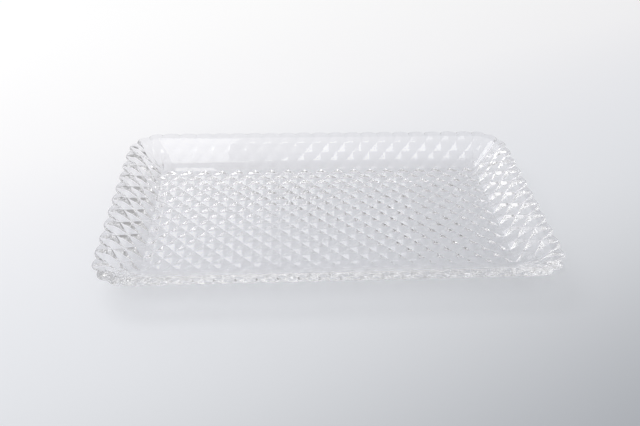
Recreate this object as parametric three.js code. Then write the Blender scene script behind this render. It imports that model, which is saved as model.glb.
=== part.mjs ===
// A shallow rectangular serving plate, pressed in one piece of clear glass.
// The inside is smooth. The underside and the outside of the wall carry a lattice of ridges that run on the
// diagonals, with a diamond-shaped pit between them, and the flat top of the rim cuts them off in scallops.
// The plate stands on the ridges under its floor.
// Millimetres, +Z up. The origin is on the table, under the middle of the plate.

import * as THREE from "three";
import { mergeVertices } from "three/addons/utils/BufferGeometryUtils.js";

// Driving dimensions
const floorLength = 266; // underside, from crease to crease
const floorWidth = 126;
const wallRise = 22.55; // from the pits of the floor to the top of the rim
const wallRun = 23.15; // from the crease to the notches of the rim, in plan
const diamondPitch = 14; // a diamond from corner to corner, stretched a little to fill each side evenly
const floorRelief = 1.2; // under the floor, from the bottom of a pit to the ridges around it
const wallRelief = 1.7; // the same on the wall, square to it
const ridgeFlat = 0.8; // the flat along the ridges under the floor
const floorThickness = 4.2; // glass above the pits of the floor
const rimWidth = 5.55; // top of the rim at a notch
const scallopDepth = 2.6; // from a notch of the rim to the points between the notches, in plan
const coveRadius = 17.5; // inside, where the wall runs out into the floor
const floorCornerRadius = 9; // inside corners, at the level of the floor

// Steps of the round stretches inside
const coveSteps = 6;
const cornerSteps = 10;

// Sizes that follow
const wallAngle = Math.atan2(wallRise, wallRun);
const wallSlope = Math.hypot(wallRise, wallRun);
const rimHeight = floorRelief + wallRise;
const insideFloor = floorRelief + floorThickness;
const insideCornerRadius = wallRun - rimWidth;
const flatShare = (ridgeFlat * Math.SQRT2) / diamondPitch;

// Counts of half diamonds. A whole number of diamonds fills each side, so that the four corners are alike.
const halfSteps = (length) => 2 * Math.max(1, Math.round(length / diamondPitch));
const longSteps = halfSteps(floorLength);
const shortSteps = halfSteps(floorWidth);
const fanSteps = halfSteps((Math.PI / 2) * (wallRun + scallopDepth));
const wallRows = halfSteps(wallSlope);

const down = new THREE.Vector3(0, 0, -1);
const triangles = [];

function addTriangle(a, b, c) {
  triangles.push(a, b, c);
}

// The bottom of a pit. Every facet runs from one pit to a ridge between two crossings.
function pit(base) {
  return { point: base };
}

// A crossing of two ridges, which stands out from the lattice by the given way.
function crossing(base, way, flat) {
  return { crossing: true, point: base.clone().add(way), flat };
}

// Where the line from a crossing to a pit leaves the flat of the ridges.
function edgeOfFlat(from, to) {
  return from.flat ? from.point.clone().lerp(to.point, flatShare).setZ(from.point.z) : from.point;
}

// The facet from a pit to the ridge between two crossings, with its outer side facing out, and half of that ridge.
function addFacet(low, a, b) {
  const nearA = edgeOfFlat(a, low);
  const nearB = edgeOfFlat(b, low);
  addTriangle(low.point, nearA, nearB);
  if (a.flat) addTriangle(nearA, a.point, b.point);
  if (b.flat) addTriangle(nearA, b.point, nearB);
}

// A four-sided cell of the lattice, with a ridge from crossing to crossing.
function addCell(a, b, c, d) {
  if (a.crossing || c.crossing) {
    addFacet(b, c, a);
    addFacet(d, a, c);
  } else {
    addFacet(a, b, d);
    addFacet(c, d, b);
  }
}

// The way the wall faces at a turn about +Z, in plan.
function facing(turn) {
  return new THREE.Vector3(Math.cos(turn), Math.sin(turn), 0);
}

// The crease around the floor as stations, anticlockwise from above, half a diamond apart.
// A corner is a fan of stations that share one point of the crease and turn through 90 degrees.
function creaseStations() {
  const corners = [
    { x: 1, y: -1, steps: shortSteps },
    { x: 1, y: 1, steps: longSteps },
    { x: -1, y: 1, steps: shortSteps },
    { x: -1, y: -1, steps: longSteps },
  ];
  const stations = [];
  corners.forEach((corner, side) => {
    const next = corners[(side + 1) % corners.length];
    const from = new THREE.Vector3((corner.x * floorLength) / 2, (corner.y * floorWidth) / 2, floorRelief);
    const to = new THREE.Vector3((next.x * floorLength) / 2, (next.y * floorWidth) / 2, floorRelief);
    const turn = (side * Math.PI) / 2;
    for (let step = 0; step <= corner.steps; step++) {
      const foot = from.clone().lerp(to, step / corner.steps);
      stations.push({ foot, turn, inFan: false });
    }
    for (let step = 1; step < fanSteps; step++) {
      stations.push({ foot: to, turn: turn + ((step / fanSteps) * Math.PI) / 2, inFan: true });
    }
  });
  return stations;
}

// A node of the wall's lattice: row 0 is the crease and the last row is the rim.
// Crossings stand square to the wall, but lie in the plane of the rim in the last row.
// In a corner's fan the diamonds narrow towards the floor, and stand out less by the same share.
function wallNode(station, index, row) {
  const share = row / wallRows;
  const out = facing(station.turn);
  const base = station.foot.clone().addScaledVector(out, share * wallRun);
  base.z += share * wallRise;
  if ((index + row) % 2 === 0 || (row === 0 && station.inFan)) {
    return pit(base);
  }
  if (row === wallRows) {
    return crossing(base, out.multiplyScalar(scallopDepth));
  }
  const lean = row === 0 ? wallAngle / 2 : wallAngle;
  const relief = row === 0 ? floorRelief : wallRelief;
  const way = out.multiplyScalar(Math.sin(lean)).addScaledVector(down, Math.cos(lean));
  return crossing(base, way.multiplyScalar(relief * (station.inFan ? share : 1)));
}

// The wall's lattice as rows of nodes, each going once around the plate.
function wallLattice() {
  const stations = creaseStations();
  const rows = [];
  for (let row = 0; row <= wallRows; row++) {
    rows.push(stations.map((station, index) => wallNode(station, index, row)));
  }
  return rows;
}

function addWall(rows) {
  const around = rows[0].length;
  for (let row = 0; row < wallRows; row++) {
    for (let index = 0; index < around; index++) {
      const next = (index + 1) % around;
      const [low, lowNext] = [rows[row][index], rows[row][next]];
      const [high, highNext] = [rows[row + 1][index], rows[row + 1][next]];
      if (low.point.equals(lowNext.point)) {
        addFacet(low, highNext, high);
      } else {
        addCell(low, lowNext, highNext, high);
      }
    }
  }
}

// The underside of the floor. Its edge takes its nodes from the crease.
function addFloor(crease) {
  const sideStart = (steps) => steps + fanSteps;
  const right = 0;
  const back = right + sideStart(shortSteps);
  const left = back + sideStart(longSteps);
  const front = left + sideStart(shortSteps);
  const node = (column, row) => {
    if (column === longSteps) return crease[right + row];
    if (row === shortSteps) return crease[back + longSteps - column];
    if (column === 0) return crease[left + shortSteps - row];
    if (row === 0) return crease[front + column];
    const x = (column / longSteps - 0.5) * floorLength;
    const y = (row / shortSteps - 0.5) * floorWidth;
    const base = new THREE.Vector3(x, y, floorRelief);
    const isPit = (column + row) % 2 === 0;
    return isPit ? pit(base) : crossing(base, down.clone().multiplyScalar(floorRelief), true);
  };
  for (let column = 0; column < longSteps; column++) {
    for (let row = 0; row < shortSteps; row++) {
      addCell(node(column, row), node(column, row + 1), node(column + 1, row + 1), node(column + 1, row));
    }
  }
}

// A rounded rectangle inside the plate, anticlockwise from above, drawn in from the rim by the given inset.
function insideOutline(inset, height, radius) {
  const reach = wallRun - rimWidth - inset - radius;
  const points = [];
  [[1, 1], [-1, 1], [-1, -1], [1, -1]].forEach(([x, y], corner) => {
    const centre = new THREE.Vector3(x * (floorLength / 2 + reach), y * (floorWidth / 2 + reach), height);
    for (let step = 0; step <= cornerSteps; step++) {
      const turn = ((corner + step / cornerSteps) * Math.PI) / 2;
      points.push(centre.clone().addScaledVector(facing(turn), radius));
    }
  });
  return points;
}

// The smooth inside as outlines from the rim down to the floor: a straight wall, parallel to the outside, and a cove.
function insideOutlines() {
  const depth = rimHeight - insideFloor;
  const cove = Math.min(coveRadius, depth / (1 - Math.cos(wallAngle)));
  const straightDrop = depth - cove * (1 - Math.cos(wallAngle));
  const straightRun = straightDrop / Math.tan(wallAngle);
  const wholeRun = straightRun + cove * Math.sin(wallAngle);
  const profile = [{ inset: 0, height: rimHeight }];
  for (let step = 0; step <= coveSteps; step++) {
    const lean = wallAngle * (1 - step / coveSteps);
    const inset = straightRun + cove * (Math.sin(wallAngle) - Math.sin(lean));
    profile.push({ inset, height: insideFloor + cove * (1 - Math.cos(lean)) });
  }
  return profile.map(({ inset, height }) => {
    const radius = THREE.MathUtils.lerp(insideCornerRadius, floorCornerRadius, inset / wholeRun);
    return insideOutline(inset, height, radius);
  });
}

function addInside(outlines) {
  for (let level = 0; level + 1 < outlines.length; level++) {
    const [upper, lower] = [outlines[level], outlines[level + 1]];
    for (let index = 0; index < upper.length; index++) {
      const next = (index + 1) % upper.length;
      addTriangle(upper[index], upper[next], lower[next]);
      addTriangle(upper[index], lower[next], lower[index]);
    }
  }
  addFlatFace(outlines[outlines.length - 1], []);
}

// A level face that looks up, inside an anticlockwise outline and around a clockwise hole.
function addFlatFace(outline, hole) {
  const points = [...outline, ...hole];
  const flatten = (list) => list.map((point) => new THREE.Vector2(point.x, point.y));
  const holes = hole.length ? [flatten(hole)] : [];
  for (const [a, b, c] of THREE.ShapeUtils.triangulateShape(flatten(outline), holes)) {
    addTriangle(points[a], points[b], points[c]);
  }
}

function plateGeometry() {
  const rows = wallLattice();
  const outlines = insideOutlines();
  addFloor(rows[0]);
  addWall(rows);
  addFlatFace(rows[wallRows].map((node) => node.point), outlines[0].slice().reverse());
  addInside(outlines);
  const geometry = mergeVertices(new THREE.BufferGeometry().setFromPoints(triangles));
  geometry.computeVertexNormals();
  return geometry;
}

const clearGlass = new THREE.MeshStandardMaterial({
  name: "clear_glass",
  color: 0xf2f6f6,
  roughness: 0.03,
  metalness: 0,
  transparent: true,
  opacity: 0.35,
});

const plate = new THREE.Mesh(plateGeometry(), clearGlass);
plate.name = "pressed_glass_plate";

const model = new THREE.Group();
model.add(plate);

export default model;
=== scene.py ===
import math

import bmesh
import bpy
from mathutils import Matrix, Vector


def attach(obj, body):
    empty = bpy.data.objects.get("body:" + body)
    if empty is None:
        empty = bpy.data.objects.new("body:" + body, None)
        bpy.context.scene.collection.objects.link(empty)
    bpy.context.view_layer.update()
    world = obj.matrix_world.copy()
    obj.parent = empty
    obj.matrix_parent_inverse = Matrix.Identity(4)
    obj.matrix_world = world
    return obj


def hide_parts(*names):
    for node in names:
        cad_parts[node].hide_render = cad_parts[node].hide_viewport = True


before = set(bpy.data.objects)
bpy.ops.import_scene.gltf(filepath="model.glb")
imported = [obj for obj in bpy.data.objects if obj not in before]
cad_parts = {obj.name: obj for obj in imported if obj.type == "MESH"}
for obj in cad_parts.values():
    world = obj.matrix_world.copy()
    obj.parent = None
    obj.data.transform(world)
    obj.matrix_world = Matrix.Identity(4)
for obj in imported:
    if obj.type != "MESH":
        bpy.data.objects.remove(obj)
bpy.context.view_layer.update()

# Driving dimensions of the plate, in metres, as in its solid
MM = 0.001
FLOOR_LENGTH = 266 * MM
FLOOR_WIDTH = 126 * MM
WALL_RISE = 22.55 * MM
WALL_RUN = 23.15 * MM
DIAMOND_PITCH = 14 * MM
FLOOR_RELIEF = 1.2 * MM
WALL_RELIEF = 1.7 * MM
FLOOR_THICKNESS = 4.2 * MM
RIM_WIDTH = 5.55 * MM
SCALLOP_DEPTH = 2.6 * MM
COVE_RADIUS = 17.5 * MM
FLOOR_CORNER_RADIUS = 9 * MM
EDGE_ROUND = 0.7 * MM

# Divisions of a half diamond and of the stretches inside, and how the mesh is joined and shaded
SUB_STEPS = 6
ROUND_STEPS = 8
STRAIGHT_ROWS = 4
COVE_ROWS = 12
SHARP_ANGLE = math.radians(20)
WELD_DISTANCE = 0.005 * MM

# Sizes that follow
WALL_ANGLE = math.atan2(WALL_RISE, WALL_RUN)
RIM_HEIGHT = FLOOR_RELIEF + WALL_RISE
INSIDE_FLOOR = FLOOR_RELIEF + FLOOR_THICKNESS
INSIDE_CORNER_RADIUS = WALL_RUN - RIM_WIDTH


def half_steps(length):
    """How many half diamonds fill a length, as a whole number of diamonds."""
    return 2 * round(length / DIAMOND_PITCH)


LONG_STEPS = half_steps(FLOOR_LENGTH)
SHORT_STEPS = half_steps(FLOOR_WIDTH)
FAN_STEPS = half_steps(math.pi / 2 * (WALL_RUN + SCALLOP_DEPTH))
WALL_ROWS = half_steps(math.hypot(WALL_RISE, WALL_RUN))

# The photograph's camera, solved from the rim's scallops
PHOTO_WIDTH = 640
FOCAL_PIXELS = 600.755
CAMERA_PITCH = math.radians(39.729)
CAMERA_YAW = math.radians(4.98)
CAMERA_ROLL = math.radians(2.191)
CAMERA_PLACE = (-0.03575, -0.35415, 0.30212)
SENSOR_WIDTH = 36.0
CLIP_START = 0.01

# The glass: its waves, and how far from fully polished and from flat they make it
GLASS_COLOUR = (0.99, 0.988, 1, 1)
GLASS_IOR = 1.5
WAVE_SCALE = 55
WAVE_DETAIL = 2
DULL_FROM = 0.4
DULL_TO = 0.8
DULLEST = 0.015
WAVE_STRENGTH = 0.08
WAVE_HEIGHT = 0.3 * MM

# The table lies just under the plate
TABLE_SIZE = 6
TABLE_DROP = 0.2 * MM
TABLE_ROUGHNESS = 0.5
TABLE_SHINE = 0.2
# Painted light falloff in the table's colour: it is painted paler along this way, from the darker front
# right to the brighter back left, between these distances from the middle
PAINTED_FALLOFF_WAY = (-0.423, 0.906, 0)
PAINTED_FALLOFF_FROM = -0.25
PAINTED_FALLOFF_TO = 0.45
# Colour stops of the painted light falloff: painted shade towards the front right, painted light towards
# the back left
PAINTED_FALLOFF_COLOURS = (
    (0.14, (0.665, 0.68, 0.71, 1)),
    (0.27, (0.8, 0.815, 0.85, 1)),
    (0.42, (0.84, 0.85, 0.885, 1)),
    (0.62, (0.955, 0.95, 0.965, 1)),
)
# The ends of the painted light falloff: painted shade at the front right, painted light at the back left
PAINTED_FALLOFF_FRONT_RIGHT = (0.375, 0.395, 0.43, 1)
PAINTED_FALLOFF_BACK_LEFT = (1, 1, 1, 1)
# Shares of the table's colour: what is seen whatever light falls on it, and what is lit
TABLE_GLOW = 0.57
TABLE_LIT = 0.46

# The room's light: a plain level, and soft patches that are brighter or darker by the given strength.
# Azimuths go from the back of the plate towards its right, and the angles are in degrees.
ROOM_LEVEL = 0.485
PALE_WALL = {"azimuth": -40, "elevation": 22, "half_width": 18, "strength": 0.5}
DIM_CORNER = {"azimuth": 28, "elevation": 48, "half_width": 12, "strength": -0.35}
DIM_SIDE = {"azimuth": 80, "elevation": 22, "half_width": 32, "strength": -0.3}
CEILING = {"azimuth": 0, "elevation": 90, "half_width": 35, "strength": 0.4}

# Two bright level panes overhead at the back left, whose gap falls on the facets in the floor's middle
PANE_HEIGHT = 1.0
PANE_FRONT = 0.2
PANE_BACK = 0.6
LEFT_PANE = {"left": -1.1, "right": -0.602, "radiance": 3.5}
RIGHT_PANE = {"left": -0.588, "right": -0.2, "radiance": 3.3}

# A softbox above the front left, which shows in the back wall
SOFTBOX_PLACE = (-0.36, -0.5, 1.06)
SOFTBOX_AIM = (-0.1, 0.08, 0.015)
SOFTBOX_SIZE = 0.4
SOFTBOX_WATTS = 0.9

BOUNCES = 32


def facing(turn):
    """The way the wall faces at a turn about +Z, in plan."""
    return Vector((math.cos(turn), math.sin(turn), 0))


def lerp(a, b, share):
    return a + (b - a) * share


def nearest_pit(u, v):
    """The whole half diamonds of the pit that a place belongs to."""
    a = 2 * round((u + v) / 2)
    b = 2 * round((u - v) / 2)
    return (a + b) // 2, (a - b) // 2


def relief(u, v, crossing_way):
    """How a place stands out from the lattice: not at all in a pit, and fully on the ridges."""
    pit_u, pit_v = nearest_pit(u, v)
    along, across = u - pit_u, v - pit_v
    way = Vector((0, 0, 0))
    if along:
        way += crossing_way(pit_u + math.copysign(1, along), pit_v) * abs(along)
    if across:
        way += crossing_way(pit_u, pit_v + math.copysign(1, across)) * abs(across)
    return way


class Crease:
    """The crease around the floor, anticlockwise from above, measured in half diamonds."""

    def __init__(self):
        x, y = FLOOR_LENGTH / 2, FLOOR_WIDTH / 2
        corners = [Vector((x, -y, 0)), Vector((x, y, 0)), Vector((-x, y, 0)), Vector((-x, -y, 0))]
        self.stretches = []
        start = 0
        for side, steps in enumerate((SHORT_STEPS, LONG_STEPS, SHORT_STEPS, LONG_STEPS)):
            here, there = corners[side], corners[(side + 1) % 4]
            turn = side * math.pi / 2
            self.stretches.append((start, steps, here, there, turn, turn))
            start += steps
            self.stretches.append((start, FAN_STEPS, there, there, turn, turn + math.pi / 2))
            start += FAN_STEPS
        self.length = start

    def at(self, s):
        """The foot of the wall, the turn it faces, and whether this is inside a corner's fan."""
        s = s % self.length
        for start, steps, here, there, turn, next_turn in self.stretches:
            share = (s - start) / steps
            if 0 <= share <= 1:
                in_fan = next_turn > turn and 0 < share < 1
                return here.lerp(there, share), lerp(turn, next_turn, share), in_fan
        raise ValueError("no stretch of the crease at " + str(s))


CREASE = Crease()


def wall_way(s, t):
    """How a crossing of the wall's ridges stands out, at whole half diamonds s around and t up."""
    _, turn, in_fan = CREASE.at(s)
    if t == 0 and in_fan:
        return Vector((0, 0, 0))
    if t == WALL_ROWS:
        return facing(turn) * SCALLOP_DEPTH
    lean = WALL_ANGLE / 2 if t == 0 else WALL_ANGLE
    way = facing(turn) * math.sin(lean) + Vector((0, 0, -math.cos(lean)))
    height = FLOOR_RELIEF if t == 0 else WALL_RELIEF
    return way * height * (t / WALL_ROWS if in_fan else 1)


def wall_point(s, t):
    """A point on the outside of the wall, at half diamonds s around and t up."""
    foot, turn, _ = CREASE.at(s)
    base = foot + facing(turn) * (WALL_RUN * t / WALL_ROWS)
    base.z = FLOOR_RELIEF + WALL_RISE * t / WALL_ROWS
    from_notch = abs(s - 2 * round(s / 2))
    swelling = SCALLOP_DEPTH * from_notch * (1 - from_notch) * max(t - WALL_ROWS + 1, 0) ** 2
    return base + relief(s, t, wall_way) + facing(turn) * swelling


def crease_station(column, row):
    """The half diamonds around the crease where the floor's edge meets the wall."""
    back = SHORT_STEPS + FAN_STEPS
    left = back + LONG_STEPS + FAN_STEPS
    front = left + SHORT_STEPS + FAN_STEPS
    if column == LONG_STEPS:
        return row
    if row == SHORT_STEPS:
        return back + LONG_STEPS - column
    if column == 0:
        return left + SHORT_STEPS - row
    return front + column


def on_crease(column, row):
    return column in (0, LONG_STEPS) or row in (0, SHORT_STEPS)


def floor_way(column, row):
    """How a crossing of the floor's ridges stands out, at half diamonds from the front left corner."""
    if on_crease(column, row):
        return wall_way(crease_station(column, row), 0)
    return Vector((0, 0, -FLOOR_RELIEF))


def floor_point(column, row):
    """A point on the underside of the floor, at half diamonds from its front left corner."""
    if on_crease(column, row):
        return wall_point(crease_station(column, row), 0)
    x = (column / LONG_STEPS - 0.5) * FLOOR_LENGTH
    y = (row / SHORT_STEPS - 0.5) * FLOOR_WIDTH
    return Vector((x, y, FLOOR_RELIEF)) + relief(column, row, floor_way)


def inside_point(s, inset, height, radius):
    """A point of the rounded rectangle inside the plate, drawn in from the rim by an inset."""
    foot, turn, _ = CREASE.at(s)
    reach = WALL_RUN - RIM_WIDTH - inset - radius
    x = foot.x * (1 + 2 * reach / FLOOR_LENGTH)
    y = foot.y * (1 + 2 * reach / FLOOR_WIDTH)
    return Vector((x, y, height)) + facing(turn) * radius


def bend(a, corner, b):
    """Points of a rounded corner from a to b, without a itself."""
    points = []
    for step in range(1, ROUND_STEPS + 1):
        share = step / ROUND_STEPS
        points.append(a.lerp(corner, share).lerp(corner.lerp(b, share), share))
    return points


def inside_profile():
    """Inset and height from the rim down to the floor: a straight wall, then a cove."""
    depth = RIM_HEIGHT - INSIDE_FLOOR
    straight_drop = depth - COVE_RADIUS * (1 - math.cos(WALL_ANGLE))
    straight_run = straight_drop / math.tan(WALL_ANGLE)
    profile = []
    for step in range(STRAIGHT_ROWS):
        share = step / STRAIGHT_ROWS
        profile.append((straight_run * share, RIM_HEIGHT - straight_drop * share))
    for step in range(COVE_ROWS + 1):
        lean = WALL_ANGLE * (1 - step / COVE_ROWS)
        inset = straight_run + COVE_RADIUS * (math.sin(WALL_ANGLE) - math.sin(lean))
        profile.append((inset, INSIDE_FLOOR + COVE_RADIUS * (1 - math.cos(lean))))
    return profile


def fine(steps):
    """Places along a number of half diamonds, with their divisions."""
    return [step / SUB_STEPS for step in range(steps * SUB_STEPS)]


def add_patch(bm, rows, closed, lattice=None):
    """Faces between rows of points. The lattice tells how each one is cut, so that ridges are straight."""
    verts = [[bm.verts.new(point) for point in row] for row in rows]
    for r in range(len(verts) - 1):
        count = len(verts[r])
        for c in range(count if closed else count - 1):
            n = (c + 1) % count
            a, b, d, e = verts[r][c], verts[r][n], verts[r + 1][n], verts[r + 1][c]
            if lattice is None:
                bm.faces.new((a, b, d, e))
            elif lattice(r, c):
                bm.faces.new((a, b, e))
                bm.faces.new((b, d, e))
            else:
                bm.faces.new((a, b, d))
                bm.faces.new((a, d, e))
    return verts


def starts_with_pit(*starts):
    """True where the first corner of a lattice cell is a pit."""
    return sum(math.floor(start) for start in starts) % 2 == 0


def add_floor(bm):
    columns = fine(LONG_STEPS) + [LONG_STEPS]
    rows = fine(SHORT_STEPS) + [SHORT_STEPS]
    points = [[floor_point(column, row) for row in rows] for column in columns]
    add_patch(bm, points, False, lambda r, c: starts_with_pit(columns[r], rows[c]))


def add_wall_and_inside(bm):
    around = fine(CREASE.length)
    below_rim = WALL_ROWS * (1 - EDGE_ROUND * math.sin(WALL_ANGLE) / WALL_RISE)
    up = [t for t in fine(WALL_ROWS) if t < below_rim] + [below_rim]
    rows = [[wall_point(s, t) for s in around] for t in up]
    add_patch(bm, rows, True, lambda r, c: starts_with_pit(around[c], up[r]))
    profile = inside_profile()
    whole_inset = profile[-1][0]
    columns = []
    for s, start in zip(around, rows[-1]):
        out = facing(CREASE.at(s)[1])
        outer = wall_point(s, WALL_ROWS)
        inner = inside_point(s, 0, RIM_HEIGHT, INSIDE_CORNER_RADIUS)
        slope = -out * math.cos(WALL_ANGLE) + Vector((0, 0, -math.sin(WALL_ANGLE)))
        column = [start] + bend(start, outer, outer - out * EDGE_ROUND)
        column += [inner + out * EDGE_ROUND]
        column += bend(column[-1], inner, inner + slope * EDGE_ROUND)
        for inset, height in profile[1:]:
            radius = lerp(INSIDE_CORNER_RADIUS, FLOOR_CORNER_RADIUS, inset / whole_inset)
            column.append(inside_point(s, inset, height, radius))
        last_radius = FLOOR_CORNER_RADIUS - EDGE_ROUND
        column.append(inside_point(s, whole_inset + EDGE_ROUND, INSIDE_FLOOR, last_radius))
        columns.append(column)
    verts = add_patch(bm, [list(row) for row in zip(*columns)], True)
    bm.faces.new(verts[-1])


def make_plate():
    """The pressed glass plate: the lattice outside, the rim, and the smooth inside, as one closed mesh."""
    bm = bmesh.new()
    add_floor(bm)
    add_wall_and_inside(bm)
    bmesh.ops.remove_doubles(bm, verts=bm.verts, dist=WELD_DISTANCE)
    bmesh.ops.recalc_face_normals(bm, faces=bm.faces)
    mesh = bpy.data.meshes.new("pressed_plate")
    bm.to_mesh(mesh)
    bm.free()
    mesh.shade_smooth()
    mesh.set_sharp_from_angle(angle=SHARP_ANGLE)
    plate = bpy.data.objects.new("pressed_plate", mesh)
    bpy.context.scene.collection.objects.link(plate)
    mesh.materials.append(glass_material())
    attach(plate, "root")
    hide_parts("pressed_glass_plate")


def new_material(name):
    material = bpy.data.materials.new(name)
    material.use_nodes = True
    nodes = material.node_tree.nodes
    return material, nodes, material.node_tree.links, nodes["Principled BSDF"]


def glass_material():
    """Clear glass, a little wavy and a little less polished in places, as pressed glass is."""
    material, nodes, links, shader = new_material("clear_pressed_glass")
    shader.inputs["Base Color"].default_value = GLASS_COLOUR
    shader.inputs["IOR"].default_value = GLASS_IOR
    shader.inputs["Transmission Weight"].default_value = 1.0
    place = nodes.new("ShaderNodeTexCoord")
    waves = nodes.new("ShaderNodeTexNoise")
    waves.inputs["Scale"].default_value = WAVE_SCALE
    waves.inputs["Detail"].default_value = WAVE_DETAIL
    polish = nodes.new("ShaderNodeMapRange")
    polish.inputs["From Min"].default_value = DULL_FROM
    polish.inputs["From Max"].default_value = DULL_TO
    polish.inputs["To Min"].default_value = 0
    polish.inputs["To Max"].default_value = DULLEST
    bump = nodes.new("ShaderNodeBump")
    bump.inputs["Strength"].default_value = WAVE_STRENGTH
    bump.inputs["Distance"].default_value = WAVE_HEIGHT
    links.new(place.outputs["Object"], waves.inputs["Vector"])
    links.new(waves.outputs["Fac"], polish.inputs["Value"])
    links.new(polish.outputs["Result"], shader.inputs["Roughness"])
    links.new(waves.outputs["Fac"], bump.inputs["Height"])
    links.new(bump.outputs["Normal"], shader.inputs["Normal"])
    return material


def seen_rays(nodes, links):
    """1 for what the camera sees, directly or by way of glass, and 0 for the light that falls on things."""
    path = nodes.new("ShaderNodeLightPath")
    total = path.outputs["Is Camera Ray"]
    for name in ("Is Glossy Ray", "Is Transmission Ray"):
        either = nodes.new("ShaderNodeMath")
        either.operation = "MAXIMUM"
        links.new(total, either.inputs[0])
        links.new(path.outputs[name], either.inputs[1])
        total = either.outputs[0]
    return total


def painted_falloff_colour(nodes, links):
    """The table's pale colour with painted light falloff: painted paler towards the back left and darker
    towards the front right.
    """
    place = nodes.new("ShaderNodeTexCoord")
    along = nodes.new("ShaderNodeVectorMath")
    along.operation = "DOT_PRODUCT"
    along.inputs[1].default_value = PAINTED_FALLOFF_WAY
    stretch = nodes.new("ShaderNodeMapRange")
    stretch.inputs["From Min"].default_value = PAINTED_FALLOFF_FROM
    stretch.inputs["From Max"].default_value = PAINTED_FALLOFF_TO
    ramp = nodes.new("ShaderNodeValToRGB")
    ramp.color_ramp.interpolation = "B_SPLINE"
    stops = ramp.color_ramp.elements
    stops[0].position = 0
    stops[0].color = PAINTED_FALLOFF_FRONT_RIGHT
    stops[1].position = 1
    stops[1].color = PAINTED_FALLOFF_BACK_LEFT
    for position, colour in PAINTED_FALLOFF_COLOURS:
        stops.new(position).color = colour
    links.new(place.outputs["Object"], along.inputs[0])
    links.new(along.outputs["Value"], stretch.inputs["Value"])
    links.new(stretch.outputs["Result"], ramp.inputs["Fac"])
    return ramp.outputs["Color"]


def floor_material():
    """A pale table whose colour carries painted light falloff. Part of its colour is shown evenly, and the
    rest takes light and shadow.
    """
    material, nodes, links, shader = new_material("table_with_painted_falloff")
    # This colour holds painted light falloff, paler at the back left and darker at the front right
    colour = painted_falloff_colour(nodes, links)
    glow = nodes.new("ShaderNodeMath")
    glow.operation = "MULTIPLY"
    glow.inputs[1].default_value = TABLE_GLOW
    lit = nodes.new("ShaderNodeVectorMath")
    lit.operation = "SCALE"
    lit.inputs["Scale"].default_value = TABLE_LIT
    links.new(seen_rays(nodes, links), glow.inputs[0])
    links.new(colour, lit.inputs[0])
    links.new(lit.outputs["Vector"], shader.inputs["Base Color"])
    links.new(colour, shader.inputs["Emission Color"])
    links.new(glow.outputs["Value"], shader.inputs["Emission Strength"])
    shader.inputs["Roughness"].default_value = TABLE_ROUGHNESS
    shader.inputs["Specular IOR Level"].default_value = TABLE_SHINE
    return material


def make_stage():
    bpy.ops.mesh.primitive_plane_add(size=TABLE_SIZE, location=(0, 0, -TABLE_DROP))
    floor = bpy.context.object
    floor.name = "table"
    floor.data.materials.append(floor_material())


def add_area(name, location, aim, width, height, watts):
    light = bpy.data.lights.new(name, "AREA")
    light.shape = "RECTANGLE"
    light.size = width
    light.size_y = height
    light.energy = watts
    lamp = bpy.data.objects.new(name, light)
    lamp.location = location
    lamp.rotation_euler = (Vector(aim) - Vector(location)).to_track_quat("-Z", "Y").to_euler()
    bpy.context.scene.collection.objects.link(lamp)


def add_pane(name, left, right, radiance):
    """A level pane that looks down, as a lamp."""
    place = Vector(((left + right) / 2, (PANE_FRONT + PANE_BACK) / 2, PANE_HEIGHT))
    width, depth = right - left, PANE_BACK - PANE_FRONT
    watts = radiance * math.pi * width * depth
    add_area(name, place, place - Vector((0, 0, 1)), width, depth, watts)


def add_patch_of_room(nodes, links, way, total, azimuth, elevation, half_width, strength):
    """Adds a soft bell of light around one direction to the room's level."""
    turn, rise = math.radians(azimuth), math.radians(elevation)
    along = nodes.new("ShaderNodeVectorMath")
    along.operation = "DOT_PRODUCT"
    level_share = math.cos(rise)
    centre = (math.sin(turn) * level_share, math.cos(turn) * level_share, math.sin(rise))
    along.inputs[1].default_value = centre
    sharpness = 2 * math.log(2) / math.radians(half_width) ** 2
    power = nodes.new("ShaderNodeMath")
    power.operation = "MULTIPLY_ADD"
    power.inputs[1].default_value = sharpness
    power.inputs[2].default_value = -sharpness
    bell = nodes.new("ShaderNodeMath")
    bell.operation = "EXPONENT"
    level = nodes.new("ShaderNodeMath")
    level.operation = "MULTIPLY_ADD"
    level.inputs[1].default_value = strength
    level.inputs[2].default_value = ROOM_LEVEL
    links.new(way, along.inputs[0])
    links.new(along.outputs["Value"], power.inputs[0])
    links.new(power.outputs["Value"], bell.inputs[0])
    links.new(bell.outputs["Value"], level.inputs[0])
    if total:
        links.new(total, level.inputs[2])
    return level.outputs["Value"]


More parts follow.
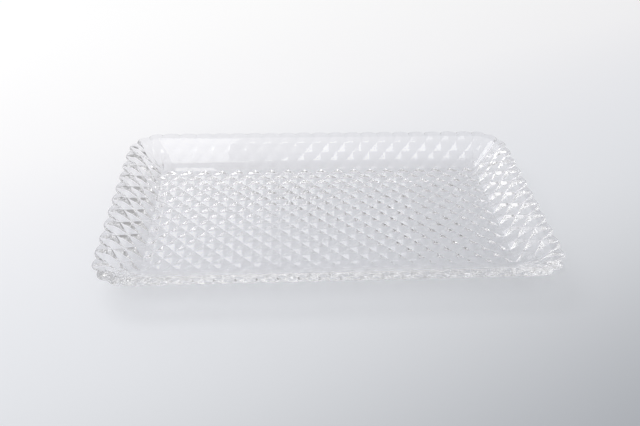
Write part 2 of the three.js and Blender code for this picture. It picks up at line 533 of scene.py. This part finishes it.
def make_room():
    """The light of a pale room, which changes softly with the direction."""
    world = bpy.data.worlds.new("room")
    bpy.context.scene.world = world
    world.use_nodes = True
    nodes, links = world.node_tree.nodes, world.node_tree.links
    way = nodes.new("ShaderNodeTexCoord").outputs["Generated"]
    total = None
    for patch in (PALE_WALL, DIM_CORNER, DIM_SIDE, CEILING):
        total = add_patch_of_room(nodes, links, way, total, **patch)
    links.new(total, nodes["Background"].inputs["Strength"])
    nodes["Background"].inputs["Color"].default_value = (1, 1, 1, 1)


def make_light():
    make_room()
    add_pane("left_pane", **LEFT_PANE)
    add_pane("right_pane", **RIGHT_PANE)
    add_area("softbox", SOFTBOX_PLACE, SOFTBOX_AIM, SOFTBOX_SIZE, SOFTBOX_SIZE, SOFTBOX_WATTS)


def make_camera():
    camera = bpy.data.cameras.new("photo_camera")
    camera.sensor_fit = "HORIZONTAL"
    camera.sensor_width = SENSOR_WIDTH
    camera.lens = SENSOR_WIDTH * FOCAL_PIXELS / PHOTO_WIDTH
    camera.clip_start = CLIP_START
    right = Vector((math.cos(CAMERA_YAW), -math.sin(CAMERA_YAW), 0))
    level = Vector((math.sin(CAMERA_YAW), math.cos(CAMERA_YAW), 0))
    forward = level * math.cos(CAMERA_PITCH) + Vector((0, 0, -math.sin(CAMERA_PITCH)))
    up = level * math.sin(CAMERA_PITCH) + Vector((0, 0, math.cos(CAMERA_PITCH)))
    rolled_right = right * math.cos(CAMERA_ROLL) + up * math.sin(CAMERA_ROLL)
    rolled_up = up * math.cos(CAMERA_ROLL) - right * math.sin(CAMERA_ROLL)
    turn = Matrix((rolled_right, rolled_up, -forward)).transposed().to_4x4()
    holder = bpy.data.objects.new("photo_camera", camera)
    holder.matrix_world = Matrix.Translation(CAMERA_PLACE) @ turn
    bpy.context.scene.collection.objects.link(holder)
    bpy.context.scene.camera = holder


def set_bounces():
    """Enough bounces for light to leave the facets again."""
    cycles = bpy.context.scene.cycles
    cycles.max_bounces = BOUNCES
    cycles.glossy_bounces = BOUNCES
    cycles.transmission_bounces = BOUNCES


bpy.context.scene.view_settings.view_transform = "Standard"
set_bounces()
make_camera()
make_stage()
make_light()
make_plate()
